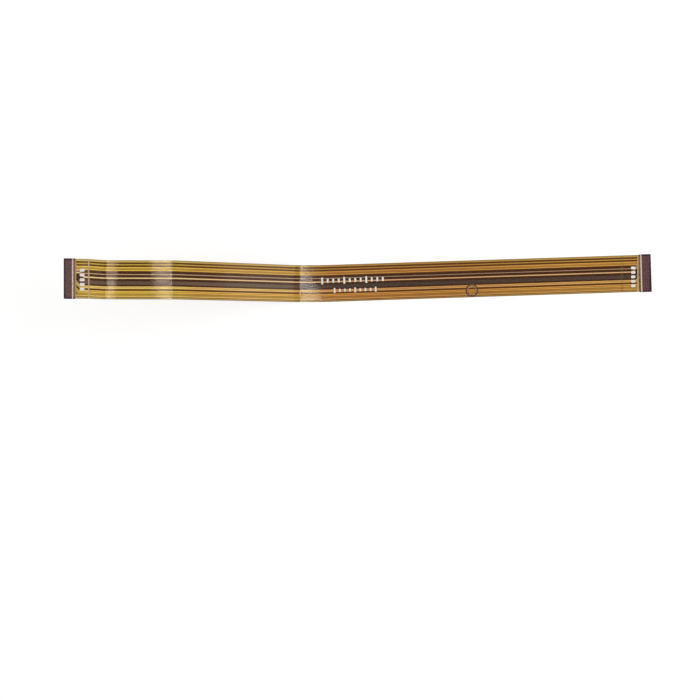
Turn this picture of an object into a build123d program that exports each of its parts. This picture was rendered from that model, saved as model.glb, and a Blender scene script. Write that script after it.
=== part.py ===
"""Flat flex cable: a double-sided flexible printed circuit with a 19-way contact tab at each end.

Lengths are in millimetres. The cable runs along X, with its printed side up, +Y towards its front
edge and the long flat stretch of its underside on Z = 0. It is a stack of layers, from the underside
up: rear coverlay, ground plane, base film, conductors, front coverlay, and a stiffener over each
contact tab. The contacts are bare copper on the underside of both tabs.

Every layer follows one lay, a line along the underside of the stack made of straight runs and
tangent bends, so each solid is a flat profile that is extruded along the runs and revolved round
the bends.
"""

from build123d import *
from dataclasses import dataclass
from math import radians, tan
import os

# Contacts
contact_pitch = 0.5
contact_count = 19
contact_width = 0.30
contact_length = 2.2     # bare copper, from the tip to the edge of the rear coverlay
contact_setback = 0.1    # film past the tip of the copper

# Stack of layers
rear_coverlay_thickness = 0.04     # under the rear copper
rear_copper_thickness = 0.03
base_film_thickness = 0.025
front_copper_thickness = 0.03
front_coverlay_thickness = 0.04    # over the front copper
stiffener_thickness = 0.175

# Outline
film_edge_margin = 0.40            # from the last contact's middle line to the film's cut edge
left_stiffener_length = 2.8
right_stiffener_length = 3.1
stiffener_overhang = 0.1           # past the film at each long edge
stiffener_corner_radius = 0.15

# Vias, which carry each conductor from its contact to the front of the film
via_radius = 0.1
via_sides = 8
via_distance = 2.35                # from the tip
via_land_length = 0.5              # copper round the via, along the cable

# Ground plane
ground_plane_margin = 0.12         # film left bare at each long edge
ground_plane_gap = 0.3             # between the via lands and the ground plane

# How far past its via land a trace runs straight, before it slants at 45 degrees to its own line
early_slant = 0.1
late_slant = 1.2

# Traces: contact number, counted from the front edge, middle line, width and straight run.
# The first bundle is measured from the front edge and the second one from the rear edge.
front_bundle = [
    (1, 0.36, 0.38, early_slant),
    (2, 1.12, 0.28, early_slant),
    (3, 1.87, 0.30, early_slant),
    (4, 2.21, 0.20, early_slant),
    (5, 2.55, 0.26, early_slant),
    (6, 3.57, 0.20, late_slant),
    (7, 4.50, 0.30, late_slant),
]
rear_bundle = [
    (11, 3.09, 0.26, early_slant),
    (12, 2.74, 0.28, early_slant),
    (14, 1.98, 0.26, early_slant),
    (15, 1.61, 0.28, early_slant),
    (16, 1.28, 0.18, early_slant),
    (17, 0.99, 0.20, early_slant),
    (18, 0.71, 0.22, early_slant),
    (19, 0.32, 0.22, early_slant),
]

# Lay of the cable
reach = 150.3                      # from tip to tip, as it lies
left_tip = -75.23
left_middle, right_middle = -1.415, 1.425
crease_margin = 0.90               # from the last slant of the left tab to the corner of its crease
tab_crease_radius = 0.5
step_crease_radius = 2.0
shelf_bend_radius = 40.0
ramp_top_radius = 5.0
ramp_foot_radius = 4.0
sideways_share = 0.45              # of the shorter run, taken up by the sideways bend

# Worked-out sizes
film_width = (contact_count - 1) * contact_pitch + 2 * film_edge_margin
land_end = via_distance + via_land_length / 2
land_start = via_distance - via_land_length / 2
ground_plane_start = land_end + ground_plane_gap

rear_copper = (rear_coverlay_thickness, rear_coverlay_thickness + rear_copper_thickness)
base = (rear_copper[1], rear_copper[1] + base_film_thickness)
front_copper = (base[1], base[1] + front_copper_thickness)
film_top = front_copper[1] + front_coverlay_thickness
stiffener = (film_top, film_top + stiffener_thickness)


@dataclass
class Trace:
    """One signal's line on the front of the film. Middle lines are from the film's front edge."""

    number: int
    middle: float
    width: float
    straight: float

    @property
    def contact_line(self):
        return contact_line(self.number)

    @property
    def slant_start(self):
        return land_end + self.straight

    @property
    def slant_end(self):
        return self.slant_start + max(abs(self.middle - self.contact_line), self.width)


def contact_line(number):
    """Distance from the front edge to the middle line of a contact, counted from 1."""
    return film_edge_margin + (number - 1) * contact_pitch


traces = [Trace(*line) for line in front_bundle]
traces += [Trace(number, film_width - middle, *rest) for number, middle, *rest in rear_bundle]
signal_numbers = [trace.number for trace in traces]
tab_run = max(trace.slant_end for trace in traces) + crease_margin

# The lay, chosen by hand: the corners of the underside's middle line, from the left tip to the right
route = [
    (left_tip, left_middle, 17.7),
    (left_tip + tab_run, left_middle, 17.2),
    (left_tip + tab_run + 3.13, left_middle, 14.08),
    (left_tip + 12.63, left_middle, 13.82),
    (left_tip + 26.23, left_middle, 13.6),
    (left_tip + 56.33, left_middle, 0.0),
    (left_tip + 62.5, left_middle, 0.0),
    (left_tip + reach, right_middle, 0.0),
]


@dataclass
class Stretch:
    """One straight run or one bend of the lay. Its section has x towards the front edge, y up."""

    start: float
    length: float
    section: Plane
    axis: Axis = None
    turn: float = 0.0

    @property
    def end(self):
        return self.start + self.length

    def section_at(self, distance):
        """The plane across the cable at a distance from the left tip."""
        part = distance - self.start
        if self.axis is None:
            return self.section.offset(part)
        angle = self.turn * part / self.length
        arm = self.section.origin - self.axis.position
        return Plane(
            origin=self.axis.position + arm.rotate(self.axis, angle),
            x_dir=self.section.x_dir.rotate(self.axis, angle),
            z_dir=self.section.z_dir.rotate(self.axis, angle),
        )

    def carry(self, profile, first, last):
        """The solid that a profile sweeps along this stretch between two distances."""
        face = self.section_at(first) * profile
        if self.axis is None:
            return extrude(face, amount=last - first)
        return revolve(face, self.axis, revolution_arc=self.turn * (last - first) / self.length)


@dataclass
class Tab:
    """A contact tab: a plane on the underside at its tip, and the way from the tip along plane x."""

    plane: Plane
    inward: int

    def place(self, along, across):
        """Plane coordinates of a point at a distance from the tip and from the front edge."""
        return self.inward * along, film_width / 2 - across

    def plate(self, outline, layer):
        """A flat piece of one layer, over corners given from the tip and from the front edge."""
        low, high = layer
        corners = [self.place(along, across) for along, across in outline]
        face = self.plane.offset(low) * make_face(Polyline(*corners, close=True))
        return extrude(face, amount=high - low, dir=self.plane.z_dir)

    def bar(self, first, last, middle, width, layer):
        """A rectangular plate between two distances from the tip."""
        near, far = middle - width / 2, middle + width / 2
        return self.plate([(first, near), (last, near), (last, far), (first, far)], layer)

    def via(self, middle):
        """The copper that fills a via, from the rear copper to the front copper."""
        x, y = self.place(via_distance, middle)
        height = front_copper[1] - rear_copper[0]
        post = extrude(RegularPolygon(via_radius, via_sides), amount=height)
        return self.plane * Pos(x, y, rear_copper[0]) * post


def crease_radii(corners):
    """The bend radius at each inner corner of the route."""
    before, corner, after = corners[-3:]
    shorter = min((corner - before).length, (after - corner).length)
    half_turn = radians((corner - before).get_angle(after - corner)) / 2
    sideways_radius = sideways_share * shorter / tan(half_turn)
    return [
        tab_crease_radius,
        step_crease_radius,
        shelf_bend_radius,
        ramp_top_radius,
        ramp_foot_radius,
        sideways_radius,
    ]


def make_lay():
    """The straight runs and bends along the route, each starting where the one before it ends."""
    corners = [Vector(*point) for point in route]
    radii = crease_radii(corners)
    stretches = []
    place, across, done = corners[0], Vector(0, 1, 0), 0.0
    for corner, after, radius in zip(corners[1:], corners[2:], radii):
        ahead, turned = (corner - place).normalized(), (after - corner).normalized()
        turn = ahead.get_angle(turned)
        setback = radius * tan(radians(turn) / 2)
        run = (corner - place).length - setback
        print(f"bend of {turn:.2f} degrees, radius {radius:.1f} mm, after a run of {run:.2f} mm")
        stretches.append(Stretch(done, run, Plane(place, x_dir=across, z_dir=ahead)))
        place, done = place + ahead * run, done + run
        hinge = ahead.cross(turned).normalized()
        axis = Axis(place + hinge.cross(ahead) * radius, hinge)
        arc = radius * radians(turn)
        stretches.append(Stretch(done, arc, Plane(place, x_dir=across, z_dir=ahead), axis, turn))
        finish = stretches[-1].section_at(done + arc)
        place, across, done = finish.origin, finish.x_dir, done + arc
    last = corners[-1] - place
    stretches.append(Stretch(done, last.length, Plane(place, x_dir=across, z_dir=last.normalized())))
    return stretches


lay = make_lay()
flat_length = lay[-1].end


def tab_at(distance, inward):
    """The contact tab whose tip is at a distance along the lay."""
    stretch = lay[0] if inward > 0 else lay[-1]
    section = stretch.section_at(distance)
    return Tab(Plane(section.origin, x_dir=section.z_dir, z_dir=section.y_dir), inward)


tabs = {"left": tab_at(0, 1), "right": tab_at(flat_length, -1)}


def strip(middle, width, layer, inset=0.0):
    """One layer along the whole lay, less an inset at both tips, about a line from the front edge."""
    low, high = layer
    profile = Pos(film_width / 2 - middle, (low + high) / 2) * Rectangle(width, high - low)
    first, last = inset, flat_length - inset
    pieces = [
        stretch.carry(profile, max(first, stretch.start), min(last, stretch.end))
        for stretch in lay
        if min(last, stretch.end) > max(first, stretch.start)
    ]
    return Part() + pieces


def make_conductor(trace):
    """One signal's copper: two contacts, two vias and the trace between them."""
    line = trace.contact_line
    copper = strip(trace.middle, trace.width, front_copper, inset=trace.slant_end)
    for tab in tabs.values():
        fan_out = [
            (land_start, line - contact_width / 2),
            (trace.slant_start, line - contact_width / 2),
            (trace.slant_end, trace.middle - trace.width / 2),
            (trace.slant_end, trace.middle + trace.width / 2),
            (trace.slant_start, line + contact_width / 2),
            (land_start, line + contact_width / 2),
        ]
        copper += tab.plate(fan_out, front_copper)
        copper += tab.bar(contact_setback, land_end, line, contact_width, rear_copper)
        copper += tab.via(line)
    return copper


def make_ground_plane():
    """The rear copper: a sheet with a contact at each position that no signal uses."""
    middle = film_width / 2
    copper = strip(middle, film_width - 2 * ground_plane_margin, rear_copper, inset=ground_plane_start)
    for number in range(1, contact_count + 1):
        if number not in signal_numbers:
            for tab in tabs.values():
                line = contact_line(number)
                copper += tab.bar(contact_setback, ground_plane_start, line, contact_width, rear_copper)
    return copper


def make_base_film():
    """The film that carries both layers of copper, with a hole for each via."""
    film = strip(film_width / 2, film_width, base)
    vias = [tab.via(contact_line(number)) for number in signal_numbers for tab in tabs.values()]
    return film - vias


def make_front_coverlay(conductors):
    """The film over the traces, whose adhesive fills the gaps between them."""
    return strip(film_width / 2, film_width, (front_copper[0], film_top)) - conductors


def make_rear_coverlay(conductors, ground_plane):
    """The film over the rear copper, cut back at both tips to bare the contacts."""
    cover = strip(film_width / 2, film_width, (0.0, rear_copper[1]), inset=contact_length)
    return cover - conductors - ground_plane


def make_stiffener(tab, length):
    """The stiff plate over a contact tab, which stands a little proud of the film's long edges."""
    near, far = -stiffener_overhang, film_width + stiffener_overhang
    plate = tab.plate([(0.0, near), (length, near), (length, far), (0.0, far)], stiffener)
    upright = plate.edges().filter_by(Axis(tab.plane.origin, tab.plane.z_dir))
    return fillet(upright, stiffener_corner_radius)


def make_nodes():
    """Every sub-part by name, each one solid."""
    conductors = [make_conductor(trace) for trace in traces]
    ground_plane = make_ground_plane()
    nodes = {
        "rear_coverlay": make_rear_coverlay(conductors, ground_plane),
        "ground_plane": ground_plane,
        "base_film": make_base_film(),
        "front_coverlay": make_front_coverlay(conductors),
        "left_stiffener": make_stiffener(tabs["left"], left_stiffener_length),
        "right_stiffener": make_stiffener(tabs["right"], right_stiffener_length),
    }
    for count, conductor in enumerate(conductors, start=1):
        nodes[f"conductor_{count:02d}"] = conductor
    return nodes


def export(nodes):
    """Writes the sub-parts about the middle of the cable's bounding box, on its lowest level."""
    box = Compound(children=[Compound(node.solids()) for node in nodes.values()]).bounding_box()
    centring = Pos(-box.center().X, -box.center().Y, -box.min.Z)
    print(f"flat length {flat_length:.2f} mm, film width {film_width:.2f} mm")
    print(f"centring by {centring.position}, box {box.size}")
    os.makedirs("parts", exist_ok=True)
    for name, node in nodes.items():
        export_step(centring * node, f"parts/{name}.step")


export(make_nodes())
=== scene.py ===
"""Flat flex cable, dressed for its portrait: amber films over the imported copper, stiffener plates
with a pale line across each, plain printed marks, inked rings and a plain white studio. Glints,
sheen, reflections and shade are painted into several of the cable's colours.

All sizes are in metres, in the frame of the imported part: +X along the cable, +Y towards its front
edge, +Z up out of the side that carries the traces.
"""

import logging
import math
from contextlib import contextmanager
from dataclasses import dataclass, field
from enum import Enum
from typing import Any, ClassVar, Iterable, Iterator, Sequence

import bmesh
import bpy
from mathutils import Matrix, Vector


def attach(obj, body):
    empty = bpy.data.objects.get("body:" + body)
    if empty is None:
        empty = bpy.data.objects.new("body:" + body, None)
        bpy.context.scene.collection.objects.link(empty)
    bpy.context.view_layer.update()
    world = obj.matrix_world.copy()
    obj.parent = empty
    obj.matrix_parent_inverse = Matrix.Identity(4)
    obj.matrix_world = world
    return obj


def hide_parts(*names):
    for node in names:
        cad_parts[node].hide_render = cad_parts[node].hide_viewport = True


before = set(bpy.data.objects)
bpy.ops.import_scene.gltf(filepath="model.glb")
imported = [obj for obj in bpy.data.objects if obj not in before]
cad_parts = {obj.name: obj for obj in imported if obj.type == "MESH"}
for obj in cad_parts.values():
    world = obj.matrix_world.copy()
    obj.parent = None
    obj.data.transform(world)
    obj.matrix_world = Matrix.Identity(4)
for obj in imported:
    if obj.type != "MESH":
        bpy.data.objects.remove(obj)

logging.basicConfig(level=logging.INFO, format="%(message)s")
log = logging.getLogger("flex_cable")

MM = 0.001
Colour = tuple[float, float, float]
Place = tuple[float, float, float]
Repeats = tuple[float, float, float]     # how often a pattern repeats in a metre, along each axis
Run = tuple[float, float]                # from one place to another
Pair = tuple[float, float]               # along X and along Y
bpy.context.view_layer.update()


def srgb(red: int, green: int, blue: int) -> Colour:
    """Turns a colour as a picture stores it into a linear one.

    Args:
        red, green, blue: the parts of the colour, from 0 to 255.

    Returns:
        The linear colour.
    """
    def linear(part: int) -> float:
        """One part of the colour, made linear."""
        share = part / 255
        return share / 12.92 if share <= 0.04045 else ((share + 0.055) / 1.055) ** 2.4
    return linear(red), linear(green), linear(blue)


# ---------------------------------------------------------------- shader maths


class Value:
    """A number on a node's output, which Python's operators turn into Math nodes."""

    def __init__(self, graph: "Graph", socket: bpy.types.NodeSocket) -> None:
        """Keeps the graph and the output socket."""
        self.graph, self.socket = graph, socket

    def maths(self, operation: str, first: Any, second: Any) -> "Value":
        """Adds one Math node.

        Args:
            operation: the Math node's operation.
            first, second: numbers or values.

        Returns:
            The node's result.
        """
        return self.graph.add("ShaderNodeMath", {"operation": operation}, {0: first, 1: second})

    def __add__(self, other: Any) -> "Value":
        """Sum."""
        return self.maths("ADD", self, other)

    def __sub__(self, other: Any) -> "Value":
        """Difference."""
        return self.maths("SUBTRACT", self, other)

    def __rsub__(self, other: Any) -> "Value":
        """Difference, from a number."""
        return self.maths("SUBTRACT", other, self)

    def __mul__(self, other: Any) -> "Value":
        """Product."""
        return self.maths("MULTIPLY", self, other)

    def at_least(self, other: Any) -> "Value":
        """The larger of the two."""
        return self.maths("MAXIMUM", self, other)

    def at_most(self, other: Any) -> "Value":
        """The smaller of the two."""
        return self.maths("MINIMUM", self, other)


class Graph:
    """The node tree of one material, with a method that adds any node."""

    def __init__(self, name: str) -> None:
        """Starts an empty material of that name."""
        self.material = bpy.data.materials.new(name)
        self.material.use_nodes = True
        self.tree = self.material.node_tree
        self.tree.nodes.clear()

    def node(self, kind: str, settings: dict[str, Any] | None = None,
             inputs: dict[Any, Any] | None = None) -> bpy.types.Node:
        """Adds a node.

        Args:
            kind: the node's type.
            settings: its properties, set first.
            inputs: what goes into its sockets, by name or number: numbers, colours, values or
                sockets.

        Returns:
            The node.
        """
        node = self.tree.nodes.new(kind)
        for name, setting in (settings or {}).items():
            setattr(node, name, setting)
        for key, given in (inputs or {}).items():
            source = given.socket if isinstance(given, Value) else given
            if isinstance(source, bpy.types.NodeSocket):
                self.tree.links.new(source, node.inputs[key])
            elif hasattr(source, "__len__") and len(source) == 3 and len(
                    node.inputs[key].default_value) == 4:
                node.inputs[key].default_value = (*source, 1.0)
            else:
                node.inputs[key].default_value = source
        return node

    def add(self, kind: str, settings: dict[str, Any] | None = None,
            inputs: dict[Any, Any] | None = None) -> Value:
        """Adds a node, as node() does, and returns its first output as a value."""
        return Value(self, self.node(kind, settings, inputs).outputs[0])

    def place(self) -> tuple[Value, Value, Value]:
        """Object coordinates, one value for each axis."""
        coordinates = self.node("ShaderNodeTexCoord")
        split = self.node("ShaderNodeSeparateXYZ", inputs={0: coordinates.outputs["Object"]})
        return tuple(Value(self, output) for output in split.outputs)

    def vector(self, x: Any, y: Any, z: Any) -> bpy.types.NodeSocket:
        """Three values as one vector."""
        return self.node("ShaderNodeCombineXYZ", inputs={0: x, 1: y, 2: z}).outputs[0]

    def step(self, value: Value, start: float, end: float, low: float = 0.0,
             high: float = 1.0) -> Value:
        """Goes smoothly from low to high as a value goes from start to end."""
        return self.add("ShaderNodeMapRange", {"interpolation_type": "SMOOTHSTEP"},
                        {0: value, 1: start, 2: end, 3: low, 4: high})

    def band(self, value: Value, first: float, last: float, soft: float) -> Value:
        """One between first and last and nothing elsewhere, with soft limits."""
        rise = self.step(value, first - soft, first + soft)
        return rise * self.step(value, last - soft, last + soft, 1.0, 0.0)

    def noise(self, scale: Repeats, detail: float, roughness: float = 0.5) -> Value:
        """Cloudy noise in object coordinates.

        Args:
            scale: how many times it repeats in a metre along each axis.
            detail, roughness: the Noise Texture's own settings.

        Returns:
            The noise, around a half.
        """
        x, y, z = self.place()
        where = self.vector(x * scale[0], y * scale[1], z * scale[2])
        return self.add("ShaderNodeTexNoise", None,
                        {"Vector": where, "Scale": 1.0, "Detail": detail, "Roughness": roughness})

    def mix(self, share: Any, first: Any, second: Any, blend: str = "MIX") -> bpy.types.NodeSocket:
        """Mixes two colours.

        Args:
            share: how much of the second there is.
            first, second: colours or colour sockets.
            blend: the Mix node's way of mixing.

        Returns:
            The mixed colour.
        """
        node = self.node("ShaderNodeMix", {"data_type": "RGBA", "blend_type": blend},
                         {0: share, 6: first, 7: second})
        return node.outputs[2]

    def bump(self, height: Value, distance: float, strength: float) -> bpy.types.NodeSocket:
        """A normal that follows a height.

        Args:
            height: the height, as a share of the distance.
            distance: how high one is, in metres.
            strength: how strongly it shows.

        Returns:
            The normal.
        """
        node = self.node("ShaderNodeBump", None,
                         {"Strength": strength, "Distance": distance, "Height": height})
        return node.outputs[0]

    def finish(self, inputs: dict[str, Any]) -> bpy.types.Material:
        """Ends in a Principled BSDF.

        Args:
            inputs: what goes into its sockets.

        Returns:
            The material.
        """
        shader = self.node("ShaderNodeBsdfPrincipled", None, inputs)
        self.node("ShaderNodeOutputMaterial", None, {"Surface": shader.outputs[0]})
        return self.material


# ---------------------------------------------------------------- the cable's plan


@dataclass(frozen=True)
class Plan:
    """The cable's line in plan and the widths that patterns on it follow."""

    left_tip: float = -75.23 * MM
    right_tip: float = 75.07 * MM
    rear_shift: float = -1.415 * MM      # middle line, left of the foot of the ramp
    kink: float = -12.73 * MM            # where the line starts to run towards the front
    slope: float = 0.03235               # how fast it does
    film_width: float = 9.8 * MM
    glossy_from: Run = (-65.9 * MM, -65.35 * MM)     # the tab and the step are dull
    dull_from: Run = (-65.8 * MM, -61.0 * MM)        # the gloss fades along the shelf
    dull_to: Run = (-55.5 * MM, -54.0 * MM)          # all the rest is glossy
    dull_gloss: float = 0.25
    end_run: Run = (15 * MM, 60 * MM)                # where the colours turn into the right end's, a painted change of reflection

    def middle(self, x: float) -> float:
        """How far towards the front the middle line lies at x."""
        return self.rear_shift + max(0.0, (x - self.kink) * self.slope)

    @property
    def tilt(self) -> float:
        """How far the right stretch is turned, in radians."""
        return math.atan(self.slope)

    def across(self, graph: Graph) -> tuple[Value, Value]:
        """The place on the cable, for a pattern.

        Args:
            graph: the material's graph.

        Returns:
            The place along X, and the distance from the front edge.
        """
        x, y, _ = graph.place()
        middle = ((x - self.kink) * self.slope).at_least(0.0) + self.rear_shift
        return x, middle + self.film_width / 2 - y

    def gloss(self, graph: Graph) -> Value:
        """How glossy the copper's cover is: dull on the tab, the step and most of the shelf."""
        x, _, _ = graph.place()
        starts = graph.step(x, *self.glossy_from, self.dull_gloss, 1.0)
        fades = graph.step(x, *self.dull_from, 1.0, self.dull_gloss)
        return starts.at_most(fades).at_least(graph.step(x, *self.dull_to, 0.0, 1.0))


PLAN = Plan()


# ---------------------------------------------------------------- finishes


@dataclass(frozen=True)
class AmberFilm:
    """See-through amber film with faint clouds, soft waves and pale pressed creases that carry
    painted glints.
    """

    tint: Colour = srgb(96, 62, 14)
    cloud: Colour = srgb(120, 84, 24)
    alpha: float = 0.04
    roughness: float = 0.34
    index: float = 1.5
    clouds: Repeats = (90, 420, 90)
    grain: Repeats = (700, 5200, 700)
    waves: Repeats = (60, 150, 60)
    wave_height: float = 0.02 * MM
    glint_lines: tuple[tuple[float, float, float], ...] = (      # painted glints: place along X, half width, share
        (-72.34 * MM, 0.10 * MM, 0.9),
        (-69.28 * MM, 0.16 * MM, 0.72),
        (67.4 * MM, 0.35 * MM, 0.16),
        (71.62 * MM, 0.22 * MM, 0.9),
    )
    glint_softness: float = 0.6                             # as a share of its half width
    glint_breaks: Repeats = (0, 900, 0)
    glint_colour: Colour = srgb(255, 228, 160)
    glint_alpha: float = 0.55

    def make(self) -> bpy.types.Material:
        """The material."""
        graph = Graph("front_film")
        x, _, _ = graph.place()
        clouds = graph.noise(self.clouds, 2.0)
        grain = graph.noise(self.grain, 2.0)
        breaks = graph.noise(self.glint_breaks, 3.0) * 0.5 + 0.7
        # painted glints: pale, more opaque lines where light catches the creases and the
        # stiffeners' edges
        glinting = None
        for place, half, share in self.glint_lines:
            line = graph.band(x, place - half, place + half, half * self.glint_softness)
            line = line * breaks * share
            glinting = line if glinting is None else glinting.at_least(line)
        tint = graph.mix(clouds, self.tint, self.cloud)
        waves = graph.noise(self.waves, 1.0) * 0.8 + grain * 0.2
        return graph.finish({
            "Base Color": graph.mix(glinting, tint, self.glint_colour),
            "Alpha": clouds * 0.04 + (self.alpha - 0.02) + glinting * self.glint_alpha,
            "Roughness": grain * 0.08 + self.roughness,
            "IOR": self.index,
            "Normal": graph.bump(waves, self.wave_height, 0.6),
        })


@dataclass(frozen=True)
class RearFilm:
    """Brown creased film over the rear copper, embossed by the traces, with painted shadow at its
    cut ends.
    """

    left: Colour = srgb(134, 70, 12)
    right: Colour = srgb(170, 98, 40)
    paling: Run = (-30 * MM, 20 * MM)                      # from the left colour to the right one
    # painted sheen: the tabs are lighter, standing in for light reflected where the film bends near
    # its ends
    tab: Colour = srgb(162, 98, 50)
    body: Run = (-69.5 * MM, 69.5 * MM)                    # from tab to tab
    shade: Colour = srgb(140, 72, 22)                      # painted shade: a darker band near the right tab, standing for a bend there that faces away from the light
    shade_run: Run = (65.9 * MM, 69.5 * MM)
    # painted shadow: dark strips along the film's cut ends, beside the contacts
    cut: Colour = srgb(74, 26, 8)
    cut_ends: Run = (-72.62 * MM, 72.46 * MM)
    cut_waves: Repeats = (0, 1400, 0)
    glint_lines: tuple[tuple[float, float], ...] = (           # painted highlights: place along X and half width
        (-69.35 * MM, 0.14 * MM), (-65.9 * MM, 0.22 * MM))
    glint_softness: float = 0.6                           # as a share of its half width
    glint_colour: Colour = srgb(186, 126, 74)
    clouds: Repeats = (70, 260, 70)
    cloud_shade: Colour = (0.88, 0.82, 0.72)
    lines: Repeats = (12, 1500, 12)
    groove_shade: Colour = (0.62, 0.52, 0.42)
    groove_depth: float = 0.006 * MM
    embossed: Run = (-56.0 * MM, -6.0 * MM)
    alpha: float = 0.86
    roughness: float = 0.28
    index: float = 1.25

    def make(self) -> bpy.types.Material:
        """The material."""
        graph = Graph("rear_film")
        x, _, _ = graph.place()
        clouds = graph.noise(self.clouds, 2.0)
        lines = graph.noise(self.lines, 2.0, 0.4)
        colour = graph.mix(graph.step(x, *self.paling), self.left, self.right)
        # painted shade: the darker band near the right tab
        colour = graph.mix(graph.band(x, *self.shade_run, 0.3 * MM), colour, self.shade)
        # painted sheen: the lighter tabs
        colour = graph.mix(graph.band(x, *self.body, 0.05 * MM), self.tab, colour)
        pressed = graph.band(x, *self.embossed, 14 * MM) * 0.8 + 0.2
        grooves = graph.step(lines, 0.50, 0.62) * pressed
        colour = graph.mix(grooves * 0.5, colour, self.groove_shade, "MULTIPLY")
        colour = graph.mix(clouds * 0.5, colour, self.cloud_shade, "MULTIPLY")
        # painted highlights: lighter lines along the creases
        for place, half in self.glint_lines:
            line = graph.band(x, place - half, place + half, half * self.glint_softness)
            colour = graph.mix(line * (clouds * 0.6 + 0.3), colour, self.glint_colour)
        # painted shadow along the cut ends
        wavy = x + graph.noise(self.cut_waves, 1.0) * 0.12 * MM
        colour = graph.mix(graph.band(wavy, *self.cut_ends, 0.05 * MM), self.cut, colour)
        return graph.finish({
            "Base Color": colour,
            "Alpha": clouds * 0.04 + (self.alpha - 0.02),
            "Roughness": lines * 0.1 + self.roughness,
            "IOR": self.index,
            "Normal": graph.bump(grooves, self.groove_depth, 0.7),
        })


@dataclass(frozen=True)
class Gloss:
    """The gloss of the film that lies on the copper, as a coat of what is below it."""

    roughness: float = 0.06
    index: float = 1.22

    def inputs(self, weight: Value) -> dict[str, Any]:
        """What goes into the shader's sockets.

        Args:
            weight: how much gloss there is.

        Returns:
            The sockets' values.
        """
        return {"Specular IOR Level": 0.0, "Coat Weight": weight,
                "Coat Roughness": self.roughness, "Coat IOR": self.index}


@dataclass(frozen=True)
class Copper:
    """Satin copper under film, drawn out in fine streaks, with gold flash on its contacts; its
    colour shifts along the cable as painted reflection.
    """

    name: str
    left: Colour
    right: Colour
    end: Colour
    shelf_reflection_shift: Run = (-50 * MM, -43 * MM)      # painted reflection: two runs turn the left colour into the right
    shelf_share: float = 0.45
    foot_reflection_shift: Run = (-18 * MM, -9 * MM)
    contact: Colour = srgb(226, 178, 96)
    covered: Run = (-72.96 * MM, 72.79 * MM)        # its contacts are bare
    metallic: float = 0.08
    bare_metallic: float = 0.6                      # that much more on a contact
    roughness: float = 0.42
    streaks: Repeats = (60, 9000, 60)
    streak_shade: Colour = (0.74, 0.66, 0.50)
    streak_depth: float = 0.002 * MM
    clouds: Repeats = (45, 220, 45)
    cloud_shade: Colour = (0.86, 0.80, 0.70)
    gloss: Gloss = Gloss()

    def make(self) -> bpy.types.Material:
        """The material."""
        graph = Graph(self.name)
        x, _, _ = graph.place()
        streaks = graph.noise(self.streaks, 4.0, 0.6)
        clouds = graph.noise(self.clouds, 2.0)
        # painted reflection: the colour shifts along the cable as the reflected light does
        reflection_shift = (graph.step(x, *self.shelf_reflection_shift) * self.shelf_share
                   + graph.step(x, *self.foot_reflection_shift) * (1.0 - self.shelf_share))
        base = graph.mix(reflection_shift, self.left, self.right)
        base = graph.mix(graph.step(x, *PLAN.end_run), base, self.end)
        worn = graph.mix(streaks * 0.45, base, self.streak_shade, "MULTIPLY")
        worn = graph.mix(clouds * 0.4, worn, self.cloud_shade, "MULTIPLY")
        covered = graph.band(x, *self.covered, 0.01 * MM)
        return graph.finish({
            "Base Color": graph.mix(covered, self.contact, worn),
            "Metallic": (1.0 - covered) * self.bare_metallic + self.metallic,
            "Roughness": streaks * 0.18 + (self.roughness - 0.09),
            **self.gloss.inputs(covered * PLAN.gloss(graph)),
            "Normal": graph.bump(streaks, self.streak_depth, 0.5),
        })


@dataclass(frozen=True)
class BackingFilm:
    """The inner film: dark between traces, with painted grey reflection where none runs, olive
    along its bare edges.
    """

    dark: Colour = srgb(68, 34, 6)
    narrow: Colour = srgb(94, 54, 12)               # where the gaps are narrow
    wide_gaps: Run = (2.95 * MM, 6.60 * MM)
    # painted reflection: where no trace runs, the film's own colour greyed by reflected light,
    # changing along the cable
    grey_sheen: Colour = srgb(106, 87, 71)
    grey_sheen_right: Colour = srgb(74, 60, 53)
    grey_sheen_end: Colour = srgb(84, 66, 56)
    grey_sheen_run: Run = (5.28 * MM, 6.16 * MM)
    foot_sheen_fade: Run = (-19 * MM, -8 * MM)
    olive: Colour = srgb(172, 150, 84)
    bare_edge: float = 0.14 * MM
    amber: Colour = srgb(150, 108, 44)              # between the contacts
    contact_length: float = 2.3 * MM
    soft: float = 0.10 * MM
    roughness: float = 0.5
    grain: Repeats = (260, 2600, 260)
    grain_shade: Colour = (0.78, 0.76, 0.74)
    grain_depth: float = 0.001 * MM
    gloss: Gloss = Gloss()

    def make(self) -> bpy.types.Material:
        """The material."""
        graph = Graph("backing_film")
        x, across = PLAN.across(graph)
        grain = graph.noise(self.grain, 3.0)
        # painted reflection: grey where no trace runs, fading past the ramp's foot and changing at
        # the right end
        painted_sheen = graph.mix(graph.step(x, *self.foot_sheen_fade), self.grey_sheen, self.grey_sheen_right)
        painted_sheen = graph.mix(graph.step(x, *PLAN.end_run), painted_sheen, self.grey_sheen_end)
        gaps = graph.mix(graph.band(across, *self.wide_gaps, self.soft), self.narrow, self.dark)
        colour = graph.mix(graph.band(across, *self.grey_sheen_run, self.soft), gaps, painted_sheen)
        inside = graph.band(across, self.bare_edge, PLAN.film_width - self.bare_edge, 0.015 * MM)
        colour = graph.mix(inside, self.olive, colour)
        covered = graph.band(x, PLAN.left_tip + self.contact_length,
                             PLAN.right_tip - self.contact_length, 0.01 * MM)
        colour = graph.mix(covered, self.amber, colour)
        return graph.finish({
            "Base Color": graph.mix(grain * 0.5, colour, self.grain_shade, "MULTIPLY"),
            "Roughness": grain * 0.2 + self.roughness,
            **self.gloss.inputs(PLAN.gloss(graph)),
            "Normal": graph.bump(grain, self.grain_depth, 0.4),
        })


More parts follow.
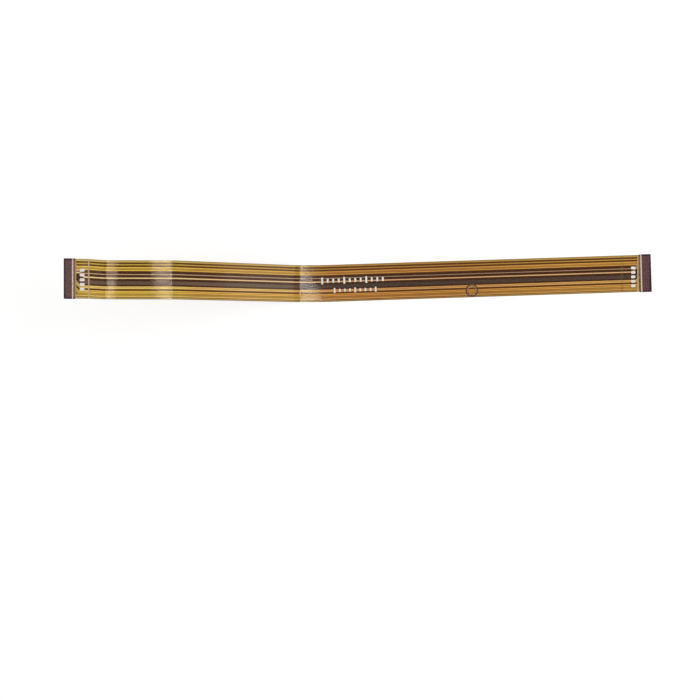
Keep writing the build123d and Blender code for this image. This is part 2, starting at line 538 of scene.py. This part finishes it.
@dataclass(frozen=True)
class Plate:
    """Dull laminate of a stiffener, with painted shadow round its rim, and brown between its line
    and the film.
    """

    face: Colour = srgb(120, 87, 83)
    face_right: Colour = srgb(112, 76, 80)
    speck: Colour = srgb(62, 36, 38)
    # painted shadow round the plate's edges
    edge_shadow: Colour = srgb(26, 12, 16)
    edge_shadow_share: float = 0.95
    edge_shadow_width: Run = (0.26 * MM, 0.56 * MM)
    overhang: float = 0.1 * MM                      # past the film's long edges
    right_cut: float = 0.08 * MM                    # the skewed right tip lies that much further in
    inside: Colour = srgb(132, 100, 62)             # the strip inside its line
    inside_from: Run = (2.2 * MM, 2.45 * MM)
    weave: Repeats = (3400, 3400, 3400)
    fibres: Repeats = (900, 7000, 900)
    depth: float = 0.012 * MM
    roughness: float = 0.45
    specular: float = 0.2

    def make(self) -> bpy.types.Material:
        """The material."""
        graph = Graph("stiffener_laminate")
        x, across = PLAN.across(graph)
        tip = (x - PLAN.left_tip).at_most((PLAN.right_tip - self.right_cut) - x)
        weave = graph.step(graph.noise(self.weave, 3.0, 0.65), 0.3, 0.7)
        fibres = graph.noise(self.fibres, 2.0)
        face = graph.mix(graph.step(x, -10 * MM, 10 * MM), self.face, self.face_right)
        colour = graph.mix(weave, face, self.speck)
        colour = graph.mix(graph.step(tip, *self.inside_from), colour, self.inside)
        front, rear = across + self.overhang, PLAN.film_width + self.overhang - across
        edge = front.at_most(rear).at_most(tip)
        # painted shadow along the plate's edges
        edge_shadow = graph.step(edge, *self.edge_shadow_width, self.edge_shadow_share, 0.0)
        return graph.finish({
            "Base Color": graph.mix(edge_shadow, colour, self.edge_shadow),
            "Roughness": weave * 0.25 + self.roughness,
            "Specular IOR Level": self.specular,
            "Normal": graph.bump(weave * 0.5 + fibres * 0.5, self.depth, 0.6),
        })


@dataclass(frozen=True)
class Ink:
    """Printed or stamped ink, a little uneven."""

    name: str
    colour: Colour
    thin: Colour
    alpha: float = 1.0
    thin_alpha: float = 0.75                        # as a share of alpha
    roughness: float = 0.5
    blots: Repeats = (2400, 2400, 2400)
    depth: float = 0.004 * MM

    def make(self) -> bpy.types.Material:
        """The material."""
        graph = Graph(self.name)
        blots = graph.noise(self.blots, 3.0)
        return graph.finish({
            "Base Color": graph.mix(graph.step(blots, 0.35, 0.7), self.colour, self.thin),
            "Roughness": blots * 0.2 + self.roughness,
            "Alpha": graph.step(blots, 0.2, 0.6, self.alpha, self.alpha * self.thin_alpha),
            "Normal": graph.bump(blots, self.depth, 0.5),
        })


class Tone(Enum):
    """How a trace looks through the film: left of the ramp's foot, right of it, at the end; the
    changes between them are painted reflection.
    """

    BRIGHT = (srgb(255, 230, 170), srgb(238, 186, 136), srgb(246, 199, 141))
    PALE = (srgb(252, 222, 125), srgb(236, 175, 102), srgb(244, 190, 109))
    GOLD = (srgb(250, 213, 90), srgb(228, 164, 75), srgb(242, 181, 86))
    BRONZE = (srgb(214, 184, 72), srgb(202, 142, 64), srgb(214, 166, 73))
    OLIVE = (srgb(214, 192, 101), srgb(194, 147, 74), srgb(208, 170, 88))
    ROSE = (srgb(220, 185, 150), srgb(180, 146, 122), srgb(198, 160, 130))


# ---------------------------------------------------------------- modelling helpers


def deselect_all() -> None:
    """Leaves edit mode, and leaves nothing selected."""
    if bpy.context.object is not None and bpy.context.object.mode != "OBJECT":
        bpy.ops.object.mode_set(mode="OBJECT")
    bpy.ops.object.select_all(action="DESELECT")


def take(piece: bpy.types.Object) -> None:
    """Selects one piece, alone, and makes it the active one."""
    deselect_all()
    piece.select_set(True)
    bpy.context.view_layer.objects.active = piece


def settle(piece: bpy.types.Object) -> None:
    """Moves a piece's place, turn and size into its mesh."""
    take(piece)
    bpy.ops.object.transform_apply(location=True, rotation=True, scale=True)


@contextmanager
def editing(piece: bpy.types.Object) -> Iterator[None]:
    """Edit mode on one piece, with all of it selected."""
    take(piece)
    bpy.ops.object.mode_set(mode="EDIT")
    bpy.ops.mesh.select_all(action="SELECT")
    yield
    bpy.ops.object.mode_set(mode="OBJECT")


def apply_modifier(piece: bpy.types.Object, kind: str, **settings: Any) -> None:
    """Adds a modifier with its settings and applies it.

    Args:
        piece: the piece.
        kind: the modifier's type.
        settings: its properties.
    """
    take(piece)
    modifier = piece.modifiers.new(kind.lower(), kind)
    for name, setting in settings.items():
        setattr(modifier, name, setting)
    bpy.ops.object.modifier_apply(modifier=modifier.name)


def dress(piece: bpy.types.Object, material: bpy.types.Material,
          replaces: Sequence[str] = ()) -> bpy.types.Object:
    """Finishes a new piece: its material, its body and the nodes that it stands for.

    Args:
        piece: the piece.
        material: its material.
        replaces: the CAD nodes that it stands for.

    Returns:
        The piece.
    """
    piece.data.materials.clear()
    piece.data.materials.append(material)
    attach(piece, "root")
    if replaces:
        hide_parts(*replaces)
    log.info("%s: %d faces", piece.name, len(piece.data.polygons))
    return piece


def repaint(node: str, material: bpy.types.Material) -> None:
    """Gives a CAD node, whose shape stays, its finish."""
    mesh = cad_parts[node].data
    if not mesh.materials:
        mesh.materials.append(material)
    for index in range(len(mesh.materials)):
        mesh.materials[index] = material
    log.info("%s: repainted", node)


# ---------------------------------------------------------------- films


MERGE = 1e-7                 # points of a packed face that lie closer are one point
EDGE_ZONE = 0.1 * MM         # a point that lies closer to a long edge belongs to it
COLUMN = 0.03 * MM           # points of an edge that lie closer along X are above each other
FACING = 0.5                 # a face whose normal reaches that far up or down is on the outside


@dataclass(frozen=True)
class Station:
    """A line across the cable: its points at both long edges and its outward direction."""

    front: Vector
    rear: Vector
    out: Vector

    def point(self, across: float, height: float) -> Vector:
        """A point at a distance from the front edge and a height along the outward direction."""
        return self.front.lerp(self.rear, across / PLAN.film_width) + self.out * height

    def between(self, other: "Station", share: float) -> "Station":
        """A station between this one and another on the same flat."""
        return Station(self.front.lerp(other.front, share), self.rear.lerp(other.rear, share),
                       self.out)


def read_stations(node: str, side: int) -> list[Station]:
    """Reads the creased run of a packed film from its outer face.

    Args:
        node: the film's CAD node.
        side: 1 for its upper face, -1 for its lower one.

    Returns:
        Its stations, from the left tip to the right one.
    """
    mesh = bmesh.new()
    mesh.from_mesh(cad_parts[node].data)
    bmesh.ops.remove_doubles(mesh, verts=mesh.verts, dist=MERGE)
    skin = [face for face in mesh.faces if face.normal.z * side > FACING]
    edges: dict[str, list[Vector]] = {"front": [], "rear": []}
    for vertex in {vertex for face in skin for vertex in face.verts}:
        offset = PLAN.middle(vertex.co.x) - vertex.co.y
        if abs(offset) > PLAN.film_width / 2 - EDGE_ZONE:
            edges["rear" if offset > 0 else "front"].append(vertex.co.copy())
    mesh.free()
    lines = []
    for points in edges.values():
        points.sort(key=lambda point: point.x)
        columns: list[Vector] = []
        for point in points:
            if columns and point.x - columns[-1].x < COLUMN:
                if (point.z - columns[-1].z) * side > 0:
                    columns[-1] = point
            else:
                columns.append(point)
        lines.append(columns)
    front, rear = lines
    assert len(front) == len(rear), (node, len(front), len(rear))
    stations = []
    for index, (near, far) in enumerate(zip(front, rear)):
        before, after = front[max(index - 1, 0)], front[min(index + 1, len(front) - 1)]
        out = (after - before).cross(near - far).normalized()
        stations.append(Station(near, far, out * (1 if out.z * side > 0 else -1)))
    return stations


@dataclass
class Film:
    """One outer film of the cable, which shows the traces below it as faint ridges."""

    name: str
    node: str
    side: int
    relief: float                            # how far it sinks beside a trace
    material: bpy.types.Material
    thickness: float = 0.035 * MM
    seal: float = 0.0695 * MM                # how deep its sealed long edges reach
    seal_width: float = 0.05 * MM
    shoulder: float = 0.03 * MM              # half the width of a ridge's slope
    chamfer: Pair = (0.02 * MM, 0.01 * MM)   # along its long edges, across and down
    flat_tab: float = 5.05 * MM              # nearer to the tips it has no ridges
    fade: float = 0.4 * MM                   # the ridges rise over that length
    straight_run: Run = (-60 * MM, -20 * MM)  # all traces run straight there

    def ridges(self) -> list[tuple[float, float]]:
        """The limits of each trace across the cable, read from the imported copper."""
        found = []
        for name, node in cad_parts.items():
            if name.startswith("conductor_"):
                side = [vertex.co.y for vertex in node.data.vertices
                        if self.straight_run[0] < vertex.co.x < self.straight_run[1]]
                edge = PLAN.rear_shift + PLAN.film_width / 2
                found.append((edge - max(side), edge - min(side)))
        return sorted(found)

    def profile(self, relief: float) -> list[tuple[float, float]]:
        """The film's section as a closed loop of distances from the front edge and heights.

        Args:
            relief: how far the film sinks beside a trace, here.

        Returns:
            The corners of the section.
        """
        wide, soft, (run, drop) = PLAN.film_width, self.shoulder, self.chamfer
        outer = [(0.0, -self.seal), (0.0, -relief - drop), (run, -relief)]
        for low, high in self.ridges():
            outer += [(low - soft, -relief), (low + soft, 0.0), (high - soft, 0.0),
                      (high + soft, -relief)]
        outer += [(wide - run, -relief), (wide, -relief - drop), (wide, -self.seal)]
        inner = [(wide - self.seal_width, -self.seal), (wide - self.seal_width, -self.thickness),
                 (self.seal_width, -self.thickness), (self.seal_width, -self.seal)]
        return outer + inner

    def stations(self) -> list[tuple[Station, float]]:
        """The film's stations, each with its relief."""
        found = read_stations(self.node, self.side)
        left = self._rise(found[0], found[1], PLAN.left_tip)
        right = self._rise(found[-1], found[-2], PLAN.right_tip)
        middle = [(station, self.relief) for station in found[1:-1]]
        return [*left, *middle, *reversed(right)]

    def _rise(self, end: Station, inner: Station, tip: float) -> list[tuple[Station, float]]:
        """The stations from one end to where the ridges have risen.

        Args:
            end, inner: the end's station and the next one.
            tip: where the cable's tip is along X.

        Returns:
            The stations from the end inwards, each with its relief.
        """
        cut_back = abs(end.front.x - tip)
        length = (inner.front - end.front).length
        placed = [(end, 0.0)]
        for inset, relief in ((self.flat_tab - self.fade, 0.0), (self.flat_tab, self.relief)):
            placed.append((end.between(inner, (inset - cut_back) / length), relief))
        return placed

    def build(self) -> bpy.types.Object:
        """Sweeps the section along the stations.

        Returns:
            The film.
        """
        mesh = bmesh.new()
        loops = []
        for station, relief in self.stations():
            corners = self.profile(relief)
            loops.append([mesh.verts.new(station.point(*corner)) for corner in corners])
        for near, far in zip(loops, loops[1:]):
            for index in range(len(near)):
                after = (index + 1) % len(near)
                mesh.faces.new((near[index], near[after], far[after], far[index]))
        caps = [mesh.faces.new(list(reversed(loops[0]))), mesh.faces.new(loops[-1])]
        bmesh.ops.triangulate(mesh, faces=caps)
        bmesh.ops.recalc_face_normals(mesh, faces=mesh.faces)
        data = bpy.data.meshes.new(self.name)
        mesh.to_mesh(data)
        mesh.free()
        piece = bpy.data.objects.new(self.name, data)
        bpy.context.scene.collection.objects.link(piece)
        take(piece)
        bpy.ops.object.shade_smooth_by_angle(angle=math.radians(25))
        apply_modifier(piece, "WEIGHTED_NORMAL", keep_sharp=True, weight=80)
        return dress(piece, self.material, [self.node])


# ---------------------------------------------------------------- things laid on a film


@dataclass
class Laid:
    """A thin flat shape, printed, stamped or glued on a surface, which it follows."""

    name: str
    thickness: float
    material: bpy.types.Material

    above: ClassVar[float] = 30 * MM         # heights from which it drops or rises to the surface
    beneath: ClassVar[float] = -5 * MM
    clearance: ClassVar[float] = 0.001 * MM

    def lay(self, piece: bpy.types.Object, onto: bpy.types.Object,
            below: bool = False) -> bpy.types.Object:
        """Drops a flat shape on a surface and gives it its thickness.

        Args:
            piece: the flat shape, in plan.
            onto: the surface's piece.
            below: whether it goes on from below.

        Returns:
            The finished piece.
        """
        settle(piece)
        with editing(piece):
            bpy.ops.mesh.normals_make_consistent(inside=False)
        for vertex in piece.data.vertices:
            vertex.co.z = self.beneath if below else self.above
        apply_modifier(piece, "SHRINKWRAP", target=onto, wrap_method="PROJECT",
                       use_project_z=True, use_negative_direction=not below,
                       use_positive_direction=below, offset=self.clearance)
        way = -1 if below else 1
        if sum(face.normal.z for face in piece.data.polygons) * way < 0:
            with editing(piece):
                bpy.ops.mesh.flip_normals()
        apply_modifier(piece, "SOLIDIFY", thickness=self.thickness, offset=1.0)
        piece.name = piece.data.name = self.name
        return dress(piece, self.material)


@dataclass
class Bars(Laid):
    """A row of plain printed bars."""

    size: Pair
    start: Pair
    turn: float
    pitch: Pair = (0.0, 0.0)
    lengths: Sequence[float] = (1.0,)        # of each bar, as a share of its size
    corner: float = 0.3                      # its radius, as a share of the bar's shorter side

    def build(self, onto: bpy.types.Object) -> bpy.types.Object:
        """Makes the row and lays it on a piece."""
        bars = []
        for index, share in enumerate(self.lengths):
            x = self.start[0] + index * self.pitch[0]
            y = self.start[1] + index * self.pitch[1]
            deselect_all()
            bpy.ops.mesh.primitive_plane_add(size=1.0, location=(x, y, 0.0),
                                             rotation=(0.0, 0.0, self.turn))
            bar = bpy.context.object
            bar.scale = (self.size[0], self.size[1] * share, 1.0)
            settle(bar)
            with editing(bar):
                bpy.ops.mesh.bevel(offset=min(self.size) * self.corner, segments=3,
                                   affect="VERTICES")
            bars.append(bar)
        take(bars[0])
        for bar in bars:
            bar.select_set(True)
        bpy.ops.object.join()
        return self.lay(bars[0], onto)


@dataclass
class Ring(Laid):
    """A stamped ring."""

    centre: Pair
    outer: float = 1.7 * MM
    inner: float = 1.34 * MM
    corners: int = 72

    def build(self, onto: bpy.types.Object, below: bool = False) -> bpy.types.Object:
        """Makes the ring and lays it on a piece."""
        deselect_all()
        bpy.ops.mesh.primitive_circle_add(vertices=self.corners, radius=self.outer,
                                          fill_type="NGON", location=(*self.centre, 0.0))
        ring = bpy.context.object
        with editing(ring):
            bpy.ops.mesh.inset(thickness=self.outer - self.inner)
            bpy.ops.mesh.delete(type="FACE")
        return self.lay(ring, onto, below)


# ---------------------------------------------------------------- the cable's route


@dataclass(frozen=True)
class Route:
    """The cable's route: the corners of the middle line of its underside, and its flat length."""

    corners: tuple[Place, ...] = (
        (-75.23 * MM, -1.415 * MM, 17.7 * MM),
        (-69.43 * MM, -1.415 * MM, 17.2 * MM),
        (-66.30 * MM, -1.415 * MM, 14.08 * MM),
        (-62.60 * MM, -1.415 * MM, 13.82 * MM),
        (-49.00 * MM, -1.415 * MM, 13.6 * MM),
        (-18.90 * MM, -1.415 * MM, 0.0),
        (-12.73 * MM, -1.415 * MM, 0.0),
        (75.07 * MM, 1.425 * MM, 0.0),
    )
    flat_length: float = 154.4 * MM
    points_between: int = 24                 # from one corner to the next, on the smooth line

    def line(self) -> list[Vector]:
        """The points of the route's smooth line."""
        curve = bpy.data.curves.new("route", "CURVE")
        curve.dimensions = "3D"
        curve.resolution_u = self.points_between
        spline = curve.splines.new("NURBS")
        spline.points.add(len(self.corners) - 1)
        for point, corner in zip(spline.points, self.corners):
            point.co = (*corner, 1.0)
        spline.order_u = 3
        spline.use_endpoint_u = True
        holder = bpy.data.objects.new("route", curve)
        mesh = bpy.data.meshes.new_from_object(holder)
        points = [vertex.co.copy() for vertex in mesh.vertices]
        bpy.data.objects.remove(holder)
        bpy.data.curves.remove(curve)
        bpy.data.meshes.remove(mesh)
        return points

    def declare(self) -> None:
        [tuple(point) for point in self.line()]


# ---------------------------------------------------------------- studio


@dataclass(frozen=True)
class Lamp:
    """A rectangular lamp that faces the origin or, with a spin, shines straight down for gloss."""

    name: str
    place: Place
    size: Pair
    radiance: float                      # how bright its face looks, where 1 is white
    colour: Colour
    spin: float | None = None            # of one that shines straight down, in degrees

    def build(self) -> None:
        """Puts the lamp up."""
        data = bpy.data.lights.new(self.name, "AREA")
        data.shape, (data.size, data.size_y) = "RECTANGLE", self.size
        data.energy = self.radiance * math.pi * data.size * data.size_y
        data.color = self.colour
        lamp = bpy.data.objects.new(self.name, data)
        lamp.location = self.place
        lamp.rotation_euler = (-Vector(self.place)).to_track_quat("-Z", "Y").to_euler()
        lamp.visible_camera = False
        if self.spin is not None:
            lamp.rotation_euler = (0.0, 0.0, math.radians(self.spin))
            lamp.visible_diffuse = False
        bpy.context.scene.collection.objects.link(lamp)


WARM: Colour = (1.0, 0.82, 0.64)
PLAIN: Colour = (1.0, 0.95, 0.90)


@dataclass(frozen=True)
class Studio:
    """Plain white floor, soft light and the camera straight above."""

    camera_place: Place = (-4.73 * MM, -19.0 * MM, 250 * MM)
    focal_length: float = 48.47
    sensor_width: float = 36.0
    clip: Run = (0.005, 10.0)
    floor_level: float = -0.02 * MM
    floor_size: float = 6.0
    floor_colour: Colour = (0.30, 0.30, 0.30)     # it carries the shadow
    floor_glow: float = 0.80                      # and this makes it white
    floor_bounce: float = 0.75                    # what the cable gets from it
    world_strength: float = 0.48                  # for light, and 1 where it is seen
    lamps: tuple[Lamp, ...] = (
        Lamp("key", (0.60, 0.20, 0.42), (0.6, 0.5), 3.5, PLAIN),
        Lamp("fill", (-0.45, -0.30, 0.55), (0.5, 0.5), 0.7, PLAIN),
        Lamp("step_glare", (-0.0907, 0.0162, 0.25), (0.0078, 0.05), 21.4, WARM, 12.0),
        Lamp("shelf_glare", (-0.0735, 0.0162, 0.25), (0.0270, 0.05), 21.8, WARM, 12.0),
        Lamp("flat_glare", (-0.0364, 0.0162, 0.25), (0.0222, 0.05), 22.6, PLAIN, 23.5),
    )

    def camera(self) -> None:
        """The camera looks straight down, with the cable's front edge towards the top."""
        data = bpy.data.cameras.new("camera")
        data.lens, data.sensor_width = self.focal_length, self.sensor_width
        data.clip_start, data.clip_end = self.clip
        camera = bpy.data.objects.new("camera", data)
        camera.location = self.camera_place
        bpy.context.scene.collection.objects.link(camera)
        bpy.context.scene.camera = camera

    @staticmethod
    def seen(tree: bpy.types.NodeTree) -> bpy.types.NodeSocket:
        """One for what the camera sees, directly, in gloss or through glass, and else nothing."""
        rays = tree.nodes.new("ShaderNodeLightPath")
        found = rays.outputs["Is Camera Ray"]
        for name in ("Is Glossy Ray", "Is Transmission Ray"):
            either = tree.nodes.new("ShaderNodeMath")
            either.operation = "MAXIMUM"
            tree.links.new(found, either.inputs[0])
            tree.links.new(rays.outputs[name], either.inputs[1])
            found = either.outputs[0]
        return found

    def world(self) -> None:
        """A plain world, white to the camera."""
        world = bpy.data.worlds.new("studio")
        bpy.context.scene.world = world
        world.use_nodes = True
        nodes, links = world.node_tree.nodes, world.node_tree.links
        nodes.clear()
        level = nodes.new("ShaderNodeMapRange")
        level.inputs["To Min"].default_value = self.world_strength
        ground, end = nodes.new("ShaderNodeBackground"), nodes.new("ShaderNodeOutputWorld")
        links.new(self.seen(world.node_tree), level.inputs["Value"])
        links.new(level.outputs[0], ground.inputs["Strength"])
        ground.inputs["Color"].default_value = (1.0, 1.0, 1.0, 1.0)
        links.new(ground.outputs[0], end.inputs[0])

    def floor(self) -> None:
        """A white floor that keeps the shadow, and lets a camera below it see the cable."""
        deselect_all()
        bpy.ops.mesh.primitive_plane_add(size=self.floor_size, location=(0, 0, self.floor_level))
        floor = bpy.context.object
        floor.name = floor.data.name = "floor"
        graph = Graph("floor_white")
        lit = graph.node("ShaderNodeBsdfDiffuse", None, {"Color": self.floor_colour})
        glow = graph.node("ShaderNodeEmission", None, {"Strength": self.floor_glow})
        seen = graph.node("ShaderNodeAddShader", None, {0: lit.outputs[0], 1: glow.outputs[0]})
        bounce = graph.node("ShaderNodeEmission", None, {"Strength": self.floor_bounce})
        camera = graph.node("ShaderNodeMixShader", None, {
            0: self.seen(graph.tree), 1: bounce.outputs[0], 2: seen.outputs[0]})
        behind = graph.node("ShaderNodeNewGeometry")
        clear = graph.node("ShaderNodeBsdfTransparent")
        sides = graph.node("ShaderNodeMixShader", None, {
            0: behind.outputs["Backfacing"], 1: camera.outputs[0], 2: clear.outputs[0]})
        graph.node("ShaderNodeOutputMaterial", None, {"Surface": sides.outputs[0]})
        graph.material.cycles.emission_sampling = "NONE"
        floor.data.materials.append(graph.material)

    def build(self) -> None:
        """Sets up everything but the cable."""
        bpy.context.scene.view_settings.view_transform = "Standard"
        self.camera()
        self.world()
        self.floor()
        for lamp in self.lamps:
            lamp.build()


# ---------------------------------------------------------------- the cable


@dataclass(frozen=True)
class Scale:
    """A plain printed scale on the right stretch, with every fourth bar longer."""

    name: str
    start: float                 # its first bar, along X
    offset: float                # its middle, from the cable's middle line
    size: Pair                   # of a long bar
    pitch: float
    count: int
    short: float = 0.62          # length of a short bar, as a share of a long one's
    thickness: float = 0.005 * MM

    def bars(self, ink: bpy.types.Material) -> Bars:
        """Its row of bars."""
        return Bars(self.name, self.thickness, ink, size=self.size, turn=PLAN.tilt,
                    start=(self.start, PLAN.middle(self.start) + self.offset),
                    pitch=(self.pitch, self.pitch * PLAN.slope),
                    lengths=[self.short if index % 4 else 1.0 for index in range(self.count)])


@dataclass
class Cable:
    """The whole cable: copper, films, stiffeners, marks and rings."""

    scales: tuple[Scale, ...] = (
        Scale("upper_scale", -12.1 * MM, 0.69 * MM, (0.50 * MM, 1.80 * MM), 1.46 * MM, 12),
        Scale("lower_scale", -8.8 * MM, -1.95 * MM, (0.44 * MM, 1.35 * MM), 1.36 * MM, 9),
    )
    tones: dict[int, Tone] = field(default_factory=lambda: {
        1: Tone.OLIVE, 2: Tone.BRONZE, 3: Tone.GOLD, 4: Tone.BRONZE, 5: Tone.GOLD, 6: Tone.ROSE,
        7: Tone.BRIGHT, 8: Tone.PALE, 9: Tone.PALE, 10: Tone.GOLD, 11: Tone.GOLD,
        12: Tone.BRONZE, 13: Tone.BRONZE, 14: Tone.PALE, 15: Tone.OLIVE})

    def copper(self) -> None:
        """Paints the traces, the ground plane and the film between them."""
        coats = {tone: Copper(f"trace_{tone.name.lower()}", *tone.value).make() for tone in Tone}
        for number, tone in self.tones.items():
            repaint(f"conductor_{number:02d}", coats[tone])
        orange = srgb(176, 104, 52)
        repaint("ground_plane", Copper("ground_copper", orange, orange, orange).make())
        repaint("base_film", BackingFilm().make())

    def films(self) -> tuple[bpy.types.Object, bpy.types.Object]:
        """Builds both outer films."""
        upper = Film("front_film", "front_coverlay", 1, 0.010 * MM, AmberFilm().make())
        lower = Film("rear_film", "rear_coverlay", -1, 0.003 * MM, RearFilm().make())
        return upper.build(), lower.build()

    def stiffeners(self) -> list[bpy.types.Object]:
        """Paints both plates and lays a pale line across each."""
        plate = Plate().make()
        # a pale pinkish line across each plate, near its tip
        line = Ink("pale_line_finish", srgb(250, 232, 226), srgb(226, 200, 194)).make()
        plates = []
        for side, x, turn in (("left", -73.06 * MM, 0.0), ("right", 72.44 * MM, PLAN.tilt)):
            repaint(f"{side}_stiffener", plate)
            plates.append(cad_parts[f"{side}_stiffener"])
            Bars(f"{side}_insertion_line", 0.006 * MM, line, size=(0.29 * MM, 9.96 * MM),
                 start=(x, PLAN.middle(x)), turn=turn).build(plates[-1])
        return plates

    def marks(self, film: bpy.types.Object) -> None:
        """Prints the plain marks: two scales near the middle and a column at each tab."""
        white = Ink("mark_ink", srgb(255, 254, 250), srgb(250, 247, 238), roughness=0.55).make()
        for scale in self.scales:
            scale.bars(white).build(film)
        for name, x, top, turn in (("left_column", -70.81 * MM, 0.69 * MM, 0.0),
                                   ("right_column", 70.35 * MM, 2.75 * MM, PLAN.tilt)):
            Bars(name, 0.005 * MM, white, size=(1.14 * MM, 0.74 * MM), start=(x, top), turn=turn,
                 pitch=(0.0, -1.18 * MM), lengths=(1.0,) * 5).build(film)

    def rings(self, upper: bpy.types.Object, lower: bpy.types.Object) -> None:
        """Stamps a plain ring on both sides, with a pale one inside it on the front."""
        ink = Ink("ring_ink", srgb(66, 40, 14), srgb(104, 72, 32), alpha=0.9).make()
        pale = Ink("ring_pale_ink", srgb(196, 156, 96), srgb(176, 136, 80), alpha=0.5).make()
        centre = (27.6 * MM, -3.2 * MM)
        Ring("front_ring", 0.004 * MM, ink, centre).build(upper)
        Ring("front_ring_inside", 0.004 * MM, pale, centre, 1.22 * MM, 0.94 * MM).build(upper)
        Ring("rear_ring", 0.004 * MM, ink, centre).build(lower, below=True)

    def build(self) -> None:
        """Builds and dresses the cable, sub-assembly by sub-assembly."""
        self.copper()
        upper, lower = self.films()
        plates = self.stiffeners()
        Route().declare()
        self.marks(upper)
        self.rings(upper, lower)


def main() -> None:
    """Builds the studio and the cable."""
    Studio().build()
    Cable().build()
    deselect_all()


if __name__ == "__main__":
    main()
